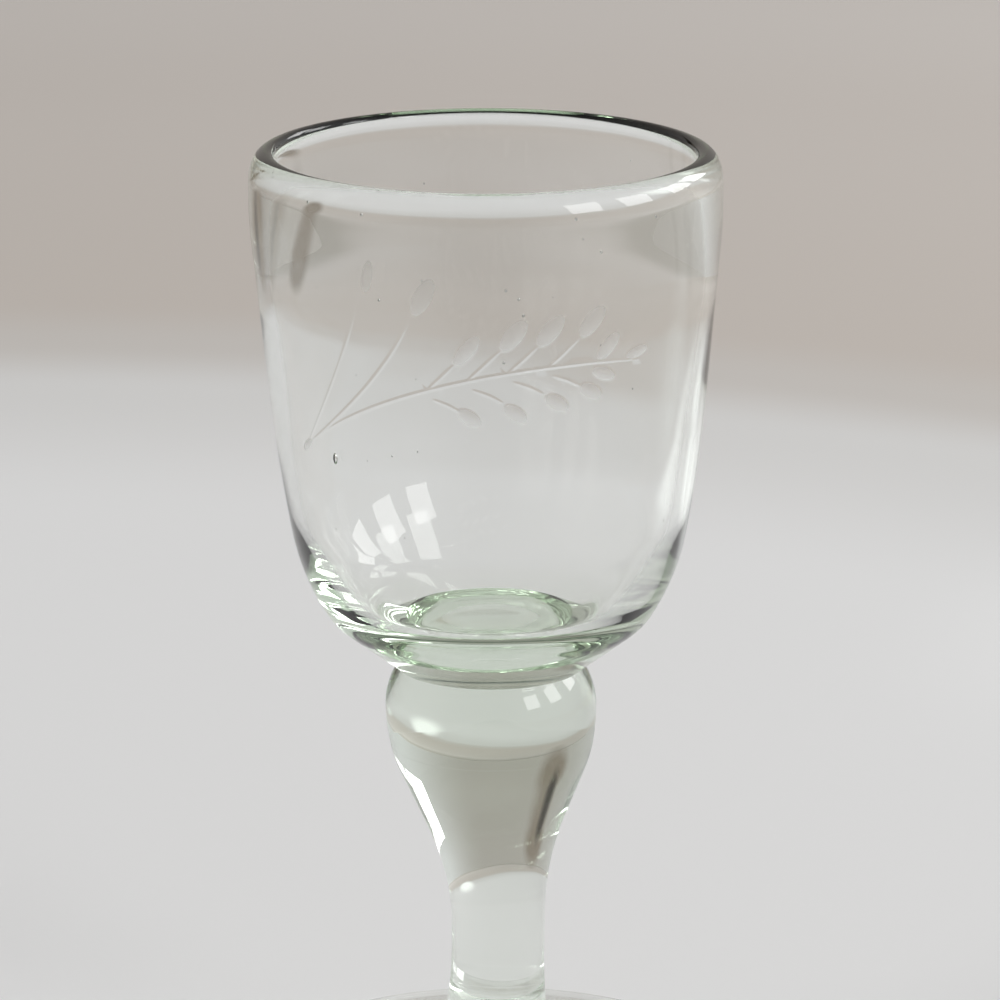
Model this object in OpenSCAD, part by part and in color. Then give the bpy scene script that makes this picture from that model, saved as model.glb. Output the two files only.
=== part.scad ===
// Stemmed shot glass: a blown bowl, a round knop, a drawn stem and a disc foot, all solid of revolution.
// Every gather of glass is a separate solid, and neighbours meet face to face on a flat joint disc.
// Millimetres, +Z up, origin on the table at the centre of the foot.

/* [Overall] */
// Height from the table to the top of the lip
height = 100; // [94:1:106]
// Largest radius of the bowl, just under the lip
rim_r = 24.05; // [23.6:0.05:24.6]

/* [Lip] */
// Radius of the lip's outer curve
lip_outer_r = 1.7; // [1.4:0.05:2]
// Radius of the softer shoulder that runs from it into the wall
shoulder_r = 5; // [4:0.5:7]
// Radius of the lip's inner curve
lip_inner_r = 0.65; // [0.5:0.05:1]

/* [Bowl] */
// Lean of the straight part of the wall, in degrees from upright
wall_lean = 5.5; // [4.5:0.1:6.5]
// Length of the straight part of the wall outside
wall_len = 14.5; // [12:0.5:16]
// Lean of the straight part of the wall inside, where more than wall_lean thickens the wall downwards
inside_lean = 6.1; // [5.5:0.1:6.5]
// Lean of the wall where the bottom of the bowl begins
belly_lean = 10.5; // [9:0.5:12]
// Radius of the outer curve that turns the wall under the bowl
belly_r = 24; // [22:0.5:26]
// Radius of the tighter curve that runs into the neck
heel_r = 7; // [5:0.5:9]
// Radius of the inner curve that follows the outer one under the bowl
hip_r = 22; // [20:0.5:23]
// Radius of the tighter curve between it and the floor
cup_r = 6.5; // [5:0.5:8]
// Height of the middle of the floor inside
floor_z = 51.1; // [50.6:0.1:52]

/* [Knop] */
// Height of the joint between the bowl and the knop
neck_z = 46; // [45.5:0.1:46.5]
// Radius of that joint
neck_r = 9.6; // [9.2:0.1:10]
// Radius of the knop at its widest
knop_r = 10.9; // [10.6:0.1:11.4]
// Height of the knop's widest ring
knop_z = 41.7; // [41.2:0.1:42.2]

/* [Stem] */
// Height of the joint between the knop and the stem
stem_top_z = 37.6; // [37:0.1:38.2]
// Slope of the stem's taper, in degrees from upright
taper = 23.5; // [21:0.5:25]
// Length of the straight part of the taper
taper_len = 5.9; // [5:0.1:7]
// Radius of the hollow curve between the taper and the waist
waist_curve_r = 29; // [25:0.5:32]

/* [Foot] */
// Height of the joint between the stem and the foot
foot_top_z = 10; // [9:0.5:11]
// Radius of the foot
foot_r = 25; // [24.5:0.5:28]
// Thickness of the foot at its round edge
edge_t = 2.4; // [2:0.1:3]
// How hollow the top of the foot is, where lower is more hollow
flare = 0.55; // [0.45:0.05:0.7]
// Width of the ring that the glass stands on
rest_w = 4.5; // [3:0.5:6]
// Rise of the hollow under the foot
kick_h = 1.3; // [0.8:0.1:1.6]
// Radius of the ground pontil mark in that hollow
pontil_r = 5.5; // [4:0.5:7]
// Depth of the pontil mark
pontil_t = 0.4; // [0.2:0.1:0.5]

/* [Hidden] */
$fn = 96;

// Largest gap between a curve and the short straight lines that stand for it
chord_gap = 0.008;
glass = [0.76, 0.83, 0.77];

// A leg of an outline is [radius, turn] for an arc, or [length, 0] for a straight.
// A heading is an angle from straight down: positive leans away from the axis, negative towards it.
function leg_end(p, heading, leg) =
    leg[1] == 0
        ? p + leg[0] * [sin(heading), -cos(heading)]
        : p + leg[0] * sign(leg[1]) * [cos(heading) - cos(heading + leg[1]), sin(heading) - sin(heading + leg[1])];

// Number of short lines that an arc needs to stay within chord_gap
function arc_steps(leg) = leg[1] == 0 ? 1 : ceil(abs(leg[1]) / (2 * acos(1 - chord_gap / leg[0])));

function leg_points(p, heading, leg) =
    let (n = arc_steps(leg))
    [for (k = [1:n]) leg_end(p, heading, [leg[1] == 0 ? leg[0] * k / n : leg[0], leg[1] * k / n])];

// Points of an outline that starts at p and follows the legs one after another
function outline(p, heading, legs, i = 0) =
    i == len(legs)
        ? []
        : concat(
            leg_points(p, heading, legs[i]),
            outline(leg_end(p, heading, legs[i]), heading + legs[i][1], legs, i + 1)
        );

function last(points) = points[len(points) - 1];

// The lip's crest, the top ring of the glass, where the outer curve starts level
shoulder_lean = 25;
crest = [
    rim_r - lip_outer_r * cos(shoulder_lean) - shoulder_r * (1 - cos(shoulder_lean)),
    height
];

// Outside of the bowl, from the crest down to the neck
belly_turn = 22;
bowl_outside = outline(crest, 90, [
    [lip_outer_r, shoulder_lean - 90],
    [shoulder_r, -shoulder_lean],
    [0.55, 0],
    [68, -wall_lean],
    [wall_len, 0],
    [171, wall_lean - belly_lean],
    [belly_r, -belly_turn],
    [heel_r, -20]
]);

// Inside of the bowl, from the crest down to the edge of the floor: the wall thins a little below the lip,
// thickens slowly downwards, and the cup curve under the hip runs nearly level into the floor.
floor_lean = 80.5;
lip_back = 3.5;
inside_top = outline(crest, -90, [
    [lip_inner_r, 90],
    [30, lip_back],
    [4, 0],
    [60, -lip_back - inside_lean]
]);
inside_bend = outline([0, 0], -inside_lean, [
    [130, inside_lean - belly_lean],
    [hip_r, -belly_turn],
    [cup_r, belly_lean + belly_turn - floor_lean]
]);

// The floor is a shallow dish from the end of the cup curve to the axis,
// and its middle lies floor_slope times its radius below its edge. The straight of the inner wall
// is as long as it takes to bring that middle to floor_z.
floor_slope = tan(45 - floor_lean / 2);
bend_top = last(inside_top);
bend = last(inside_bend);
inside_len = (bend_top[1] + bend[1] - floor_z - floor_slope * (bend_top[0] + bend[0]))
    / (cos(inside_lean) - floor_slope * sin(inside_lean));
cup_top = leg_end(bend_top, -inside_lean, [inside_len, 0]);
floor_edge = cup_top + bend;
bowl_inside = concat(
    inside_top,
    [cup_top],
    [for (p = inside_bend) cup_top + p],
    outline(floor_edge, -floor_lean, [[floor_edge[0] / cos(floor_lean), floor_lean - 90]])
);

// Outside of the knop, from its top joint over the widest ring to its bottom joint
knop_swell = 2 * atan((knop_r - neck_r) / (neck_z - knop_z));
knop_upper_r = (neck_z - knop_z) / sin(knop_swell);
knop_lower_r = 20;
knop_lean = asin((knop_z - stem_top_z) / knop_lower_r);
knop_outside = outline([neck_r, neck_z], knop_swell, [
    [knop_upper_r, -knop_swell],
    [knop_lower_r, -knop_lean]
]);

// Outside of the stem, from the knop's lower joint to the waist, then flaring to the foot's joint
stem_top_r = last(knop_outside)[0];
stem_taper = outline([stem_top_r, stem_top_z], -knop_lean, [
    [14, knop_lean - taper],
    [taper_len, 0],
    [waist_curve_r, taper],
    [3, 0]
]);
flare_r = 45;
flare_turn = asin((last(stem_taper)[1] - foot_top_z) / flare_r);
stem_flare = outline(last(stem_taper), 0, [[flare_r, flare_turn]]);
stem_foot_r = last(stem_flare)[0];

// Foot: a hollow superellipse from the stem joint out to the round edge, then the edge and the rest ring
edge_r = edge_t / 2;
rest_outer = foot_r - edge_r;
rest_inner = rest_outer - rest_w;
foot_steps = 28;
foot_top = [for (k = [0:foot_steps])
    let (t = 90 * k / foot_steps)
    [
        stem_foot_r + (rest_outer - stem_foot_r) * pow(sin(t), 2 / flare),
        edge_t + (foot_top_z - edge_t) * pow(cos(t), 2 / flare)
    ]
];
foot_edge = outline([rest_outer, edge_t], 90, [[edge_r, -180]]);
kick_steps = 12;
kick = [for (k = [0:kick_steps])
    let (r = rest_inner + (pontil_r - rest_inner) * k / kick_steps)
    [r, kick_h * (1 - pow(r / rest_inner, 2))]
];
pontil_top = last(kick)[1] + pontil_t;

module bowl() {
    color(glass)
        rotate_extrude()
            polygon(concat(
                [[0, neck_z], [0, last(bowl_inside)[1]]],
                [for (k = [len(bowl_inside) - 2:-1:0]) bowl_inside[k]],
                [crest],
                bowl_outside,
                [[neck_r, neck_z]]
            ));
}

module knop() {
    color(glass)
        rotate_extrude()
            polygon(concat([[0, neck_z], [neck_r, neck_z]], knop_outside, [[0, stem_top_z]]));
}

module stem() {
    color(glass)
        rotate_extrude()
            polygon(concat(
                [[0, stem_top_z], [stem_top_r, stem_top_z]],
                stem_taper,
                stem_flare,
                [[0, foot_top_z]]
            ));
}

module foot() {
    color(glass)
        rotate_extrude()
            polygon(concat(
                [[0, foot_top_z]],
                foot_top,
                foot_edge,
                kick,
                [[pontil_r, pontil_top], [0, pontil_top]]
            ));
}

bowl();
knop();
stem();
foot();
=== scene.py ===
"""The looks of the stemmed shot glass: four gathers of pale green glass, modelled around the CAD frame."""
import math
import random

import bmesh
import bpy
import numpy as np
from mathutils import Matrix, Vector


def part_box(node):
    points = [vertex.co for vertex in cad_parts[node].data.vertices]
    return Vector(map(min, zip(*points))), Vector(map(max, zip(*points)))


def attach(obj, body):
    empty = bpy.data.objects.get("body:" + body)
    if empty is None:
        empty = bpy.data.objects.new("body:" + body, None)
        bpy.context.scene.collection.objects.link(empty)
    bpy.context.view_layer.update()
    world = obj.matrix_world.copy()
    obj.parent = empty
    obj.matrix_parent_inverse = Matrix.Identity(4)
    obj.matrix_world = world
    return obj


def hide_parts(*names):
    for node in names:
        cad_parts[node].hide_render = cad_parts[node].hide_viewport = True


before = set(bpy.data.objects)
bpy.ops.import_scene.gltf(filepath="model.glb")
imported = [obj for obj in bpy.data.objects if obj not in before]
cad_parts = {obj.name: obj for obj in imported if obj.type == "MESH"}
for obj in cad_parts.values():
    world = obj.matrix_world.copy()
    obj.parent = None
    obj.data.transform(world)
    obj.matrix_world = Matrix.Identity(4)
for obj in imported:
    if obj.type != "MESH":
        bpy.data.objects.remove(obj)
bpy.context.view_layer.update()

MM = 0.001

# ---------------------------------------------------------------- sizes, in millimetres, from the CAD frame


def millimetres(node):
    low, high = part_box(node)
    return low / MM, high / MM


bowl_low, bowl_high = millimetres("bowl")
knop_low, knop_high = millimetres("knop")
stem_low = millimetres("stem")[0]
foot_low, foot_high = millimetres("foot")

HEIGHT = bowl_high.z
RIM_R = bowl_high.x
NECK_Z = bowl_low.z
STEM_TOP_Z = knop_low.z
FOOT_TOP_Z = stem_low.z
KNOP_R = knop_high.x
FOOT_R = foot_high.x

# ---------------------------------------------------------------- outlines
# The same outlines as the CAD solids, with each arc cut into shorter lines. A leg is (radius, turn) for an
# arc or (length, 0) for a straight. A heading is an angle from straight down, positive away from the axis.

STEP_TURN = 4.0
STEP_LENGTH = 0.65


def leg_end(point, heading, leg):
    size, turn = leg
    h0, h1 = math.radians(heading), math.radians(heading + turn)
    if turn == 0:
        return (point[0] + size * math.sin(h0), point[1] - size * math.cos(h0))
    side = math.copysign(size, turn)
    return (point[0] + side * (math.cos(h0) - math.cos(h1)), point[1] + side * (math.sin(h0) - math.sin(h1)))


def outline(point, heading, legs, finer=1):
    """Points along the legs, the start left out. Each step is cut into as many equal parts as finer says."""
    points = []
    for size, turn in legs:
        length = size if turn == 0 else size * math.radians(abs(turn))
        steps = finer * max(1, math.ceil(length / STEP_LENGTH), math.ceil(abs(turn) / STEP_TURN))
        for k in range(1, steps + 1):
            part = (size * k / steps, 0) if turn == 0 else (size, turn * k / steps)
            points.append(leg_end(point, heading, part))
        point = points[-1]
        heading += turn
    return points


# The bowl: radii and lengths in millimetres, leans from upright and turns in degrees
LIP_OUTER_R = 1.7
SHOULDER_R = 5.0
SHOULDER_LEAN = 25.0
BRIM_LENGTH = 0.55
WALL_R = 68.0
WALL_LEAN = 5.5
WALL_LENGTH = 14.5
BELLY_UPPER_R = 171.0
BELLY_LEAN = 10.5
BELLY_R = 24.0
BELLY_TURN = 22.0
HEEL_R = 7.0
HEEL_TURN = 20.0
LIP_INNER_R = 0.65
LIP_BACK = 3.5
LIP_BACK_R = 30.0
LIP_BACK_LENGTH = 4.0
INNER_TOP_R = 60.0
INNER_LEAN = 6.1
INNER_BELLY_R = 130.0
HIP_R = 22.0
CUP_R = 6.5
FLOOR_LEAN = 80.5
FLOOR_Z = 51.1
NECK_R = 9.6

tilt = math.cos(math.radians(SHOULDER_LEAN))
crest = (RIM_R - LIP_OUTER_R * tilt - SHOULDER_R * (1 - tilt), HEIGHT)


def bowl_outside(finer=1):
    """From the crest of the lip down to the neck."""
    points = [crest] + outline(crest, 90, [
        (LIP_OUTER_R, SHOULDER_LEAN - 90), (SHOULDER_R, -SHOULDER_LEAN), (BRIM_LENGTH, 0),
        (WALL_R, -WALL_LEAN), (WALL_LENGTH, 0), (BELLY_UPPER_R, WALL_LEAN - BELLY_LEAN),
        (BELLY_R, -BELLY_TURN), (HEEL_R, -HEEL_TURN)], finer)
    heel = points[-1]
    run = math.hypot(heel[0] - NECK_R, heel[1] - NECK_Z)
    lean = -math.degrees(math.atan2(heel[0] - NECK_R, heel[1] - NECK_Z))
    return points + outline(heel, lean, [(run, 0)], finer)


def bowl_inside():
    """From the crest of the lip down to the middle of the floor."""
    top = [crest] + outline(crest, -90, [
        (LIP_INNER_R, 90), (LIP_BACK_R, LIP_BACK), (LIP_BACK_LENGTH, 0),
        (INNER_TOP_R, -LIP_BACK - INNER_LEAN)])
    bend = outline((0, 0), -INNER_LEAN, [
        (INNER_BELLY_R, INNER_LEAN - BELLY_LEAN), (HIP_R, -BELLY_TURN),
        (CUP_R, BELLY_TURN + BELLY_LEAN - FLOOR_LEAN)])
    slope = math.tan(math.radians(45 - FLOOR_LEAN / 2))
    lean = math.radians(INNER_LEAN)
    length = (top[-1][1] + bend[-1][1] - FLOOR_Z - slope * (top[-1][0] + bend[-1][0])) / (
        math.cos(lean) - slope * math.sin(lean))
    straight = outline(top[-1], -INNER_LEAN, [(length, 0)])
    cup = [(straight[-1][0] + r, straight[-1][1] + z) for r, z in bend]
    dish_r = cup[-1][0] / math.cos(math.radians(FLOOR_LEAN))
    dish = outline(cup[-1], -FLOOR_LEAN, [(dish_r, FLOOR_LEAN - 90)])
    return top + straight + cup + dish[:-1] + [(0.0, dish[-1][1])]


KNOP_Z = 41.7
KNOP_LOWER_R = 20.0
swell = math.degrees(2 * math.atan((KNOP_R - NECK_R) / (NECK_Z - KNOP_Z)))
knop_upper_r = (NECK_Z - KNOP_Z) / math.sin(math.radians(swell))
knop_lean = math.degrees(math.asin((KNOP_Z - STEM_TOP_Z) / KNOP_LOWER_R))
knop_outside = [(NECK_R, NECK_Z)] + outline((NECK_R, NECK_Z), swell, [
    (knop_upper_r, -swell), (KNOP_LOWER_R, -knop_lean)])

STEM_SHOULDER_R = 14.0
TAPER = 23.5
TAPER_LENGTH = 5.9
WAIST_R = 29.0
SHAFT_LENGTH = 3.0
ANKLE_R = 45.0
stem_outside = [knop_outside[-1]] + outline(knop_outside[-1], -knop_lean, [
    (STEM_SHOULDER_R, knop_lean - TAPER), (TAPER_LENGTH, 0), (WAIST_R, TAPER), (SHAFT_LENGTH, 0)])
ankle_turn = math.degrees(math.asin((stem_outside[-1][1] - FOOT_TOP_Z) / ANKLE_R))
stem_outside += outline(stem_outside[-1], 0, [(ANKLE_R, ankle_turn)])
FOOT_TOP_R = stem_outside[-1][0]

EDGE_T = 2.4
FLARE = 0.55
REST_W = 4.5
KICK_H = 1.3
PONTIL_R = 5.5
PONTIL_BEND_R = 0.3
PONTIL_BEND = 60.0
rest_outer = FOOT_R - EDGE_T / 2
rest_inner = rest_outer - REST_W


def foot_outside():
    """From the stem joint out over the foot and round its edge to the middle of the underside."""
    points = []
    steps = 90
    for k in range(steps + 1):
        t = math.pi / 2 * k / steps
        points.append((FOOT_TOP_R + (rest_outer - FOOT_TOP_R) * max(0.0, math.sin(t)) ** (2 / FLARE),
                       EDGE_T + (FOOT_TOP_Z - EDGE_T) * max(0.0, math.cos(t)) ** (2 / FLARE)))
    points += outline(points[-1], 90, [(EDGE_T / 2, -180), (REST_W, 0)])
    steps = 30
    for k in range(1, steps + 1):
        r = rest_inner + (PONTIL_R - rest_inner) * k / steps
        points.append((r, KICK_H * (1 - (r / rest_inner) ** 2)))
    points += outline(points[-1], -90, [
        (PONTIL_BEND_R, -PONTIL_BEND), (PONTIL_BEND_R, PONTIL_BEND), (PONTIL_R - 2 * PONTIL_BEND_R, 0)])
    return points[:-1] + [(0.0, points[-1][1])]


# ---------------------------------------------------------------- the maker's hand
# Small departures from a perfect lathe shape, in millimetres. All depend on height and angle only,
# so that pieces still meet at their joints.


def drift(z):
    """How far the axis wanders to the right: the bowl leans back over a slightly bent stem."""
    return 0.15 - 0.009 * z + 0.55 * math.exp(-((z - 18) / 12) ** 2)


def ripple(a, z, phase):
    """Long, uneven swells in the glass, within about one unit."""
    return (0.45 * math.sin(2 * a + z / 9.5 + phase) + 0.30 * math.sin(3 * a - z / 6.1 + 2.1 * phase)
            + 0.20 * math.sin(5 * a + z / 4.3 + 3.7 * phase) + 0.12 * math.sin(9 * a - z / 3.1 + phase))


def outside_swell(a, z):
    return 0.035 * ripple(a, z, 0.7) * min(1.0, max(0.0, (HEIGHT - z) / 6))


def inside_swell(a, z):
    low = 1.0 + 1.2 * min(1.0, max(0.0, (66 - z) / 8))
    return 0.045 * low * ripple(a, 0.8 * z, 4.2) * min(1.0, max(0.0, (HEIGHT - z) / 6))


# ---------------------------------------------------------------- engraving
# A sprig cut into the front of the bowl. Across is measured round the wall from the middle of the front,
# positive to the right, and up is the height, both in millimetres.

ENGRAVED_R = 22.8
ENGRAVED_LOW = 69
ENGRAVED_HIGH = 97
ENGRAVED_REACH = 28


def curve(points, count=40):
    """Points on a quadratic curve."""
    a, b, c = (np.array(p) for p in points)
    steps = (k / count for k in range(count + 1))
    return [tuple((1 - t) ** 2 * a + 2 * t * (1 - t) * b + t * t * c) for t in steps]


def ray(start, degrees, length):
    a = math.radians(degrees)
    return (start[0] + length * math.cos(a), start[1] + length * math.sin(a))


def main_stem(across):
    away = abs(across - 10)
    return 82.75 - 0.0095 * away ** 2 - 0.00002 * away ** 3


cuts = []      # (points, width, depth)
leaves = []    # (middle, direction, length, width, depth)
ROOT = (-21.8, 72.5)
cuts.append(([(ROOT[0] + k, main_stem(ROOT[0] + k)) for k in range(39)], 0.34, 0.075))
cuts.append((curve([ROOT, (-15.0, 81.5), (-12.4, 90.4)]), 0.30, 0.06))
cuts.append((curve([ROOT, (-11.0, 79.5), (-7.3, 87.8)]), 0.32, 0.07))
leaves.append(((-11.7, 91.4), 78, 3.6, 1.3, 0.035))
leaves.append(((-6.1, 89.8), 62, 4.6, 2.0, 0.07))
leaves.append((ROOT, 40, 2.2, 0.9, 0.05))
for k, (across, reach) in enumerate(((-6.0, 3.9), (-2.0, 4.6), (2.0, 4.0), (6.0, 4.3))):
    base = (across, main_stem(across))
    tip = ray(base, 45 - k, reach)
    cuts.append(([base, ray(base, 44 - k, 2.0), tip], 0.32, 0.065))
    leaves.append((ray(tip, 50, 2.0), 52 - k, 4.1, 1.6 if k == 0 else 2.0, 0.065))
    under = (across + 0.6, main_stem(across) - 0.9)
    cuts.append(([under, ray(under, -20, 1.6), ray(under, -24, 3.2)], 0.34, 0.07))
for middle, turn in (((-1.8, 77.6), -33), ((2.8, 78.0), -35), ((7.0, 78.9), -32), ((10.6, 79.8), -30)):
    leaves.append((middle, turn, 3.0, 1.6, 0.05))
leaves.append(((12.4, 84.3), 48, 3.6, 1.6, 0.05))
leaves.append(((12.0, 81.5), -22, 3.0, 1.4, 0.045))
leaves.append(((15.9, 83.2), 14, 3.0, 1.2, 0.035))

cut_boxes = []
for points, width, depth in cuts:
    p = np.array(points)
    cut_boxes.append((p, p.min(axis=0) - width, p.max(axis=0) + width, width, depth))


def engraving(across, up):
    """Depth of the cut and how ground the glass is there, for arrays of places."""
    depth = np.zeros_like(across)
    ground = np.zeros_like(across)
    for p, low, high, width, deep in cut_boxes:
        near = (across > low[0]) & (across < high[0]) & (up > low[1]) & (up < high[1])
        if not near.any():
            continue
        x, y = across[near], up[near]
        best = np.full(x.shape, 9.0)
        where = np.zeros(x.shape)
        for k, (start, end) in enumerate(zip(p, p[1:])):
            run = end - start
            t = np.clip(((x - start[0]) * run[0] + (y - start[1]) * run[1]) / run.dot(run), 0, 1)
            away = np.hypot(x - start[0] - t * run[0], y - start[1] - t * run[1])
            closer = away < best
            best = np.where(closer, away, best)
            where = np.where(closer, (k + t) / (len(p) - 1), where)
        half = width / 2 * np.sqrt(np.clip(4 * where * (1 - where) + 0.12, 0, 1))
        share = np.clip(1 - best / half, 0, 1)
        depth[near] = np.maximum(depth[near], deep * share * half / (width / 2))
        ground[near] = np.maximum(ground[near], 0.6 * (share > 0))
    for middle, turn, length, width, deep in leaves:
        a = math.radians(turn)
        x = (across - middle[0]) * math.cos(a) + (up - middle[1]) * math.sin(a)
        y = (up - middle[1]) * math.cos(a) - (across - middle[0]) * math.sin(a)
        share = np.clip(1 - (2 * x / length) ** 2 - (2 * y / width) ** 2, 0, 1)
        depth = np.maximum(depth, deep * share)
        ground = np.maximum(ground, np.minimum(1, 4 * share))
    return depth, ground


# ---------------------------------------------------------------- meshes

COLUMNS = 240
FINER = 6      # parts across an engraved cell
GAP = 0.0025   # half the gap between two pieces that are fused in the real glass


class Solid:
    """A closed mesh of one piece, put together from rings about the axis."""

    def __init__(self):
        self.verts, self.ground, self.faces, self.seams = [], [], [], set()

    def vert(self, a, r, z, ground=0.0):
        self.verts.append(((r * math.sin(a) + drift(z)) * MM, -r * math.cos(a) * MM, z * MM))
        self.ground.append(ground)
        return len(self.verts) - 1

    def ring(self, r, z, swell, ground=0.0):
        if r < 1e-6:
            return [self.vert(0.0, 0.0, z, ground)]
        angles = (2 * math.pi * k / COLUMNS for k in range(COLUMNS))
        return [self.vert(a, r + swell(a, z), z, ground) for a in angles]

    def band(self, upper, lower):
        for k in range(COLUMNS):
            n = (k + 1) % COLUMNS
            if len(lower) == 1:
                self.faces.append((upper[n], upper[k], lower[0]))
            elif len(upper) == 1:
                self.faces.append((upper[0], lower[k], lower[n]))
            else:
                self.faces.append((upper[n], upper[k], lower[k], lower[n]))

    def rings(self, path, swell, ground=lambda r, z: 0.0):
        rings = [self.ring(r, z, swell, ground(r, z)) for r, z in path]
        for upper, lower in zip(rings, rings[1:]):
            self.band(upper, lower)
        return rings

    def cap(self, ring):
        self.seams.add(len(self.faces))
        self.faces.append(tuple(ring))

    def build(self, name):
        mesh = bpy.data.meshes.new(name)
        mesh.from_pydata(self.verts, [], self.faces)
        mesh.update()
        mesh.attributes.new("seam", "FLOAT", "FACE").data.foreach_set(
            "value", [1.0 if i in self.seams else 0.0 for i in range(len(self.faces))])
        mesh.attributes.new("ground", "FLOAT", "POINT").data.foreach_set("value", self.ground)
        mesh.shade_smooth()
        borders = {key for i in self.seams for key in mesh.polygons[i].edge_keys}
        for edge in mesh.edges:
            edge.use_edge_sharp = tuple(sorted(edge.vertices)) in borders
        piece = bpy.data.objects.new(name, mesh)
        bpy.context.scene.collection.objects.link(piece)
        return piece


def engraved_wall(solid, first, path, fine):
    """The bands of the bowl's outside from its crest down, cut finer where the engraving touches them."""
    rows, shared = len(path), {}
    angles = 2 * math.pi * np.arange(COLUMNS * FINER) / (COLUMNS * FINER)
    across = np.where(angles > math.pi, angles - 2 * math.pi, angles) * ENGRAVED_R
    depth, ground = np.zeros((len(fine), len(across))), np.zeros((len(fine), len(across)))
    front = np.abs(across) < ENGRAVED_REACH
    for v, (r, z) in enumerate(fine):
        if ENGRAVED_LOW < z < ENGRAVED_HIGH:
            depth[v, front], ground[v, front] = engraving(across[front], np.full(int(front.sum()), z))
    touched = set()
    for v, u in zip(*np.nonzero(depth > 0)):
        for row in {(v - 1) // FINER, v // FINER}:
            for column in {(u - 1) // FINER, u // FINER}:
                touched.add((row, column % COLUMNS))

    def place(v, u):
        u %= COLUMNS * FINER
        if (v, u) not in shared:
            r, z = fine[v]
            a = float(angles[u])
            if v == 0:
                shared[v, u] = first[u // FINER]
            else:
                reach = r + outside_swell(a, z) - float(depth[v, u])
                shared[v, u] = solid.vert(a, reach, z, float(ground[v, u]))
        return shared[v, u]

    for row in range(rows - 1):
        for column in range(COLUMNS):
            v, u = row * FINER, column * FINER
            if (row, column) in touched:
                for dv in range(FINER):
                    for du in range(FINER):
                        solid.faces.append((place(v + dv, u + du), place(v + dv + 1, u + du),
                                            place(v + dv + 1, u + du + 1), place(v + dv, u + du + 1)))
                continue
            face = []
            for edge, neighbour in (
                    ([(v, u + k) for k in range(FINER)], (row - 1, column)),
                    ([(v + k, u + FINER) for k in range(FINER)], (row, (column + 1) % COLUMNS)),
                    ([(v + FINER, u + FINER - k) for k in range(FINER)], (row + 1, column)),
                    ([(v + FINER - k, u) for k in range(FINER)], (row, (column - 1) % COLUMNS))):
                face += [place(*spot) for spot in (edge if neighbour in touched else edge[:1])]
            solid.faces.append(tuple(reversed(face)))
    return [place((rows - 1) * FINER, k * FINER) for k in range(COLUMNS)]


# Bubbles that catch the light: angle round the wall in degrees from the middle of the front, and height
SEEDS = ((22, 97.4), (45, 96.6), (28.6, 93.9), (4.7, 90.6), (7.8, 89.7), (9, 88), (4.2, 83.2), (-48, 97.8),
         (-31, 97.5), (-27, 89.1))
FAINT_SEEDS = 28


def seed(solid, degrees, z, depth, half_width, half_height):
    """A small closed bubble in the wall, with its faces turned into it."""
    a = math.radians(degrees)
    r = min(bowl_outside(), key=lambda p: abs(p[1] - z))[0] - depth
    middle = Vector((r * math.sin(a) + drift(z), -r * math.cos(a), z))
    ball = bmesh.new()
    bmesh.ops.create_icosphere(ball, subdivisions=2, radius=1.0)
    start = len(solid.verts)
    for v in ball.verts:
        p = middle + Vector((v.co.x * half_width, v.co.y * half_width, v.co.z * half_height))
        solid.verts.append(tuple(p * MM))
        solid.ground.append(0.0)
    for f in ball.faces:
        solid.faces.append(tuple(start + v.index for v in reversed(f.verts)))
    ball.free()


def shifted(path, start=0.0, end=0.0):
    path = [list(p) for p in path]
    path[0][1] += start
    path[-1][1] += end
    return path


def make_bowl():
    solid = Solid()
    inner = solid.rings(list(reversed(bowl_inside())), inside_swell)
    last = engraved_wall(solid, inner[-1], bowl_outside(), shifted(bowl_outside(FINER), 0, GAP))
    solid.cap(list(reversed(last)))
    seed(solid, -45, 71.7, depth=0.8, half_width=0.28, half_height=0.6)
    for a, z in SEEDS:
        seed(solid, a, z, depth=0.7, half_width=0.13, half_height=0.15)
    chance = random.Random(7)
    for _ in range(FAINT_SEEDS):
        size = chance.uniform(0.05, 0.1)
        a, z, depth = chance.uniform(-180, 180), chance.uniform(62, 97), chance.uniform(0.5, 1.0)
        seed(solid, a, z, depth, size, 1.3 * size)
    return solid.build("bowl_glass")


def make_lathed(name, path, open_end, ground=lambda r, z: 0.0):
    solid = Solid()
    rings = solid.rings(path, outside_swell, ground)
    solid.cap(rings[0])
    if open_end:
        solid.cap(list(reversed(rings[-1])))
    return solid.build(name)


bowl = make_bowl()
knop = make_lathed("knop_glass", shifted(knop_outside, -GAP, GAP), True)
stem = make_lathed("stem_glass", shifted(stem_outside, -GAP, GAP), True)
foot = make_lathed("foot_glass", shifted(foot_outside(), -GAP), False,
                   lambda r, z: 1.0 if r < PONTIL_R - PONTIL_BEND_R and z < 3 else 0.0)

# ---------------------------------------------------------------- glass

GLASS_IOR = 1.5
GLASS_TINT = (0.25, 0.58, 0.16, 1)
GLASS_DENSITY = 10.0
GROUND_ROUGHNESS = 0.32


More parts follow.
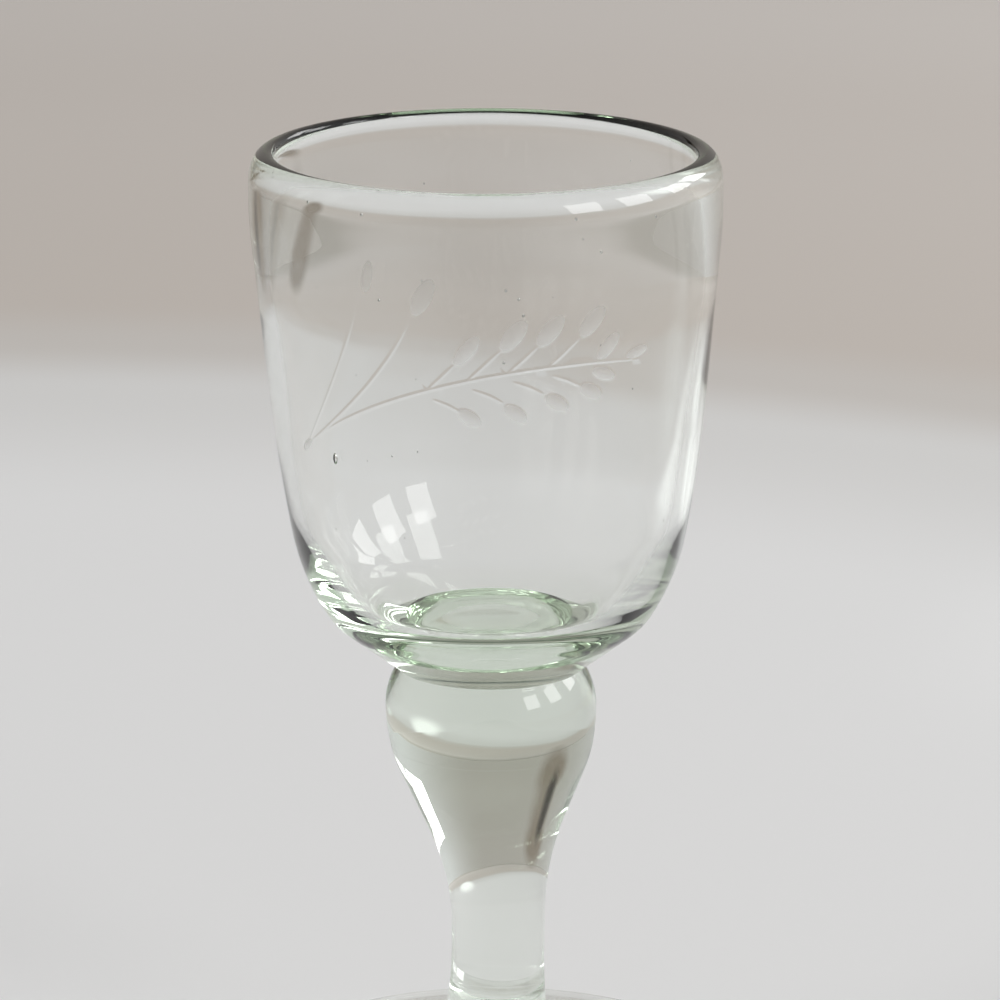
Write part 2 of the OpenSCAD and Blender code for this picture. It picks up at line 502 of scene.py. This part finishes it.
def glass(name):
    """Pale green glass. Ground places scatter the light and fire-polished ones are clear."""
    material = bpy.data.materials.new(name)
    material.use_nodes = True
    nodes, links = material.node_tree.nodes, material.node_tree.links
    shader = nodes["Principled BSDF"]
    shader.inputs["Base Color"].default_value = (1, 1, 1, 1)
    shader.inputs["Transmission Weight"].default_value = 1.0

    seam = nodes.new("ShaderNodeAttribute")
    seam.attribute_name = "seam"
    ior = nodes.new("ShaderNodeMapRange")
    ior.inputs["To Min"].default_value = GLASS_IOR
    ior.inputs["To Max"].default_value = 1.0
    links.new(seam.outputs["Fac"], ior.inputs["Value"])
    links.new(ior.outputs["Result"], shader.inputs["IOR"])

    ground = nodes.new("ShaderNodeAttribute")
    ground.attribute_name = "ground"
    roughness = nodes.new("ShaderNodeMapRange")
    roughness.inputs["To Min"].default_value = 0.0
    roughness.inputs["To Max"].default_value = GROUND_ROUGHNESS
    links.new(ground.outputs["Fac"], roughness.inputs["Value"])
    links.new(roughness.outputs["Result"], shader.inputs["Roughness"])

    absorb = nodes.new("ShaderNodeVolumeAbsorption")
    absorb.inputs["Color"].default_value = GLASS_TINT
    absorb.inputs["Density"].default_value = GLASS_DENSITY
    links.new(absorb.outputs["Volume"], nodes["Material Output"].inputs["Volume"])
    return material


for piece, node, slot in ((bowl, "bowl", "bowl_glass"), (knop, "knop", "knop_glass"),
                          (stem, "stem", "stem_glass"), (foot, "foot", "foot_glass")):
    piece.data.materials.append(glass(slot))
    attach(piece, "root")
    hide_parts(node)

# Clear glass on a table lets the light through to it, so the two lowest pieces cast no shadow of their own
stem.visible_shadow = foot.visible_shadow = False

# ---------------------------------------------------------------- stage, light and camera

TABLE_CENTRE = (-0.09, 0.0, 0.0)
FLOOR_R = 0.92


def floor():
    mesh = bpy.data.meshes.new("floor")
    ring = [(FLOOR_R * math.cos(a), FLOOR_R * math.sin(a), 0.0)
            for a in np.linspace(0, 2 * math.pi, 96, endpoint=False)]
    mesh.from_pydata(ring, [], [tuple(range(len(ring)))])
    stage = bpy.data.objects.new("floor", mesh)
    bpy.context.scene.collection.objects.link(stage)
    material = bpy.data.materials.new("floor")
    material.use_nodes = True
    nodes, links = material.node_tree.nodes, material.node_tree.links
    place = nodes.new("ShaderNodeNewGeometry")
    away = nodes.new("ShaderNodeVectorMath")
    away.operation = "DISTANCE"
    away.inputs[1].default_value = TABLE_CENTRE
    ramp = nodes.new("ShaderNodeMapRange")
    ramp.inputs["From Max"].default_value = FLOOR_R
    fade = nodes.new("ShaderNodeValToRGB")
    fade.color_ramp.interpolation = "EASE"
    stops = ((0.24, (0.80, 0.80, 0.805)), (0.315, (0.71, 0.705, 0.70)), (0.345, (0.60, 0.57, 0.543)),
             (0.375, (0.575, 0.527, 0.488)), (0.55, (0.595, 0.55, 0.515)), (0.68, (0.625, 0.585, 0.555)),
             (0.82, (0.47, 0.44, 0.40)))
    while len(fade.color_ramp.elements) < len(stops):
        fade.color_ramp.elements.new(0.5)
    for element, (distance, colour) in zip(fade.color_ramp.elements, stops):
        element.position = distance / FLOOR_R
        element.color = (*colour, 1)
    links.new(place.outputs["Position"], away.inputs[0])
    links.new(away.outputs["Value"], ramp.inputs["Value"])
    links.new(ramp.outputs["Result"], fade.inputs["Fac"])
    links.new(fade.outputs["Color"], nodes["Principled BSDF"].inputs["Base Color"])
    nodes["Principled BSDF"].inputs["Roughness"].default_value = 0.9
    mesh.materials.append(material)


floor()

GLASS_MIDDLE = Vector((0, 0, 0.07))


def aim(thing, place, target=GLASS_MIDDLE):
    thing.location = place
    thing.rotation_euler = (target - Vector(place)).to_track_quat("-Z", "Y").to_euler()


def softbox(name, place, size, energy, seen=True, colour=(1, 1, 1)):
    """A rectangular lamp aimed at the glass. The camera never sees it, and the glass only if seen is on."""
    data = bpy.data.lights.new(name, "AREA")
    data.shape = "RECTANGLE"
    data.size, data.size_y = size
    data.energy = energy
    data.color = colour
    lamp = bpy.data.objects.new(name, data)
    aim(lamp, place)
    lamp.visible_camera = False
    lamp.visible_glossy = lamp.visible_transmission = seen
    bpy.context.scene.collection.objects.link(lamp)


def card(name, place, size, colour, flat=False):
    """A soft-edged oval card that only the glass sees. It lies level if flat, else it faces the glass."""
    mesh = bpy.data.meshes.new(name)
    w, h = size[0] / 2, size[1] / 2
    mesh.from_pydata([(-w, -h, 0), (w, -h, 0), (w, h, 0), (-w, h, 0)], [], [(0, 1, 2, 3)])
    stage = bpy.data.objects.new(name, mesh)
    aim(stage, place)
    if flat:
        stage.rotation_euler = (0, 0, math.atan2(-place[0], place[1]))
    stage.visible_camera = stage.visible_diffuse = stage.visible_shadow = False
    bpy.context.scene.collection.objects.link(stage)
    material = bpy.data.materials.new(name)
    material.use_nodes = True
    nodes, links = material.node_tree.nodes, material.node_tree.links
    shader = nodes["Principled BSDF"]
    place_on = nodes.new("ShaderNodeTexCoord")
    scaled = nodes.new("ShaderNodeVectorMath")
    scaled.operation = "DIVIDE"
    scaled.inputs[1].default_value = (w, h, 1)
    reach = nodes.new("ShaderNodeVectorMath")
    reach.operation = "LENGTH"
    edge = nodes.new("ShaderNodeMapRange")
    edge.interpolation_type = "SMOOTHSTEP"
    edge.inputs["From Min"].default_value = 1.0
    edge.inputs["From Max"].default_value = 0.4
    links.new(place_on.outputs["Object"], scaled.inputs[0])
    links.new(scaled.outputs["Vector"], reach.inputs[0])
    links.new(reach.outputs["Value"], edge.inputs["Value"])
    links.new(edge.outputs["Result"], shader.inputs["Alpha"])
    shader.inputs["Base Color"].default_value = (0, 0, 0, 1)
    shader.inputs["Emission Color"].default_value = (*colour, 1)
    shader.inputs["Emission Strength"].default_value = 1.0
    shader.inputs["Specular IOR Level"].default_value = 0.0
    mesh.materials.append(material)


def around(azimuth, distance, z):
    """A place around the glass. Azimuth 0 is on the camera's side, 90 to the right, 180 behind."""
    a = math.radians(azimuth)
    return (distance * math.sin(a), -distance * math.cos(a), z)


# The window: four panes to the right of the glass, and daylight that gives no highlights of its own
for k, azimuth in enumerate((50, 80, 112, 133)):
    softbox(f"pane_{k}", around(azimuth, 1.3, 0.62), (0.40, 0.47), 2.8)
    softbox(f"daylight_{k}", around(azimuth, 1.35, 0.65), (0.6, 0.6), 1.1, seen=False)
softbox("fill", around(-80, 1.3, 0.62), (0.8, 0.8), 8.4, seen=False)
# The room: a post and brown wood behind and to the left, and two glowing pale cards on the table
card("post", around(-151, 0.25, 0.13), (0.045, 0.18), (0.04, 0.032, 0.025))
card("wood", around(-152, 0.5, 0.09), (0.20, 0.22), (0.24, 0.20, 0.16))
card("brown_thing", around(-149.5, 0.054, 0.084), (0.007, 0.017), (0.20, 0.165, 0.13))
# Painted light: these two pale cards glow, and only the glass sees them, as bright patches in its
# reflections and refractions
card("painted_light_sheet", around(153, 0.21, 0.003), (0.08, 0.16), (1.1, 1.12, 1.1), flat=True)
card("painted_light_side", around(111, 0.24, 0.003), (0.10, 0.16), (0.9, 0.92, 0.9), flat=True)

world = bpy.data.worlds.new("room")
world.use_nodes = True
nodes, links = world.node_tree.nodes, world.node_tree.links
where = nodes.new("ShaderNodeTexCoord")
split = nodes.new("ShaderNodeSeparateXYZ")
links.new(where.outputs["Generated"], split.inputs["Vector"])


def toward(axis, start, end, before, colour):
    """Mix a colour into the room towards one side of it."""
    ramp = nodes.new("ShaderNodeMapRange")
    ramp.interpolation_type = "SMOOTHSTEP"
    ramp.inputs["From Min"].default_value = start
    ramp.inputs["From Max"].default_value = end
    mix = nodes.new("ShaderNodeMix")
    mix.data_type = "RGBA"
    mix.inputs["B"].default_value = (*colour, 1)
    links.new(split.outputs[axis], ramp.inputs["Value"])
    links.new(ramp.outputs["Result"], mix.inputs["Factor"])
    if isinstance(before, tuple):
        mix.inputs["A"].default_value = (*before, 1)
    else:
        links.new(before, mix.inputs["A"])
    return mix.outputs["Result"]


room = toward("Y", 0.3, -0.8, (0.40, 0.375, 0.345), (0.27, 0.27, 0.26))
room = toward("X", 0.1, 0.95, room, (0.75, 0.76, 0.76))
room = toward("X", -0.45, -0.95, room, (0.48, 0.47, 0.45))
room = toward("Z", 0.6, 0.95, room, (0.25, 0.25, 0.25))
links.new(room, nodes["Background"].inputs["Color"])
bpy.context.scene.world = world

CAMERA_AWAY = 0.6
CAMERA_Z = 0.2193
DIP = 14.5625
TURN = -0.066
FOCAL_LENGTH = 217.7
data = bpy.data.cameras.new("camera")
data.lens = FOCAL_LENGTH
data.sensor_width = 36
camera = bpy.data.objects.new("camera", data)
bpy.context.scene.collection.objects.link(camera)
camera.matrix_world = (Matrix.Translation((0.0, -CAMERA_AWAY, CAMERA_Z))
                       @ Matrix.Rotation(math.radians(90 - DIP), 4, "X")
                       @ Matrix.Rotation(math.radians(TURN), 4, "Y"))
bpy.context.scene.camera = camera
bpy.context.scene.view_settings.view_transform = "Standard"
bpy.context.scene.cycles.max_bounces = 32
bpy.context.scene.cycles.transmission_bounces = 32
bpy.context.scene.cycles.glossy_bounces = 16
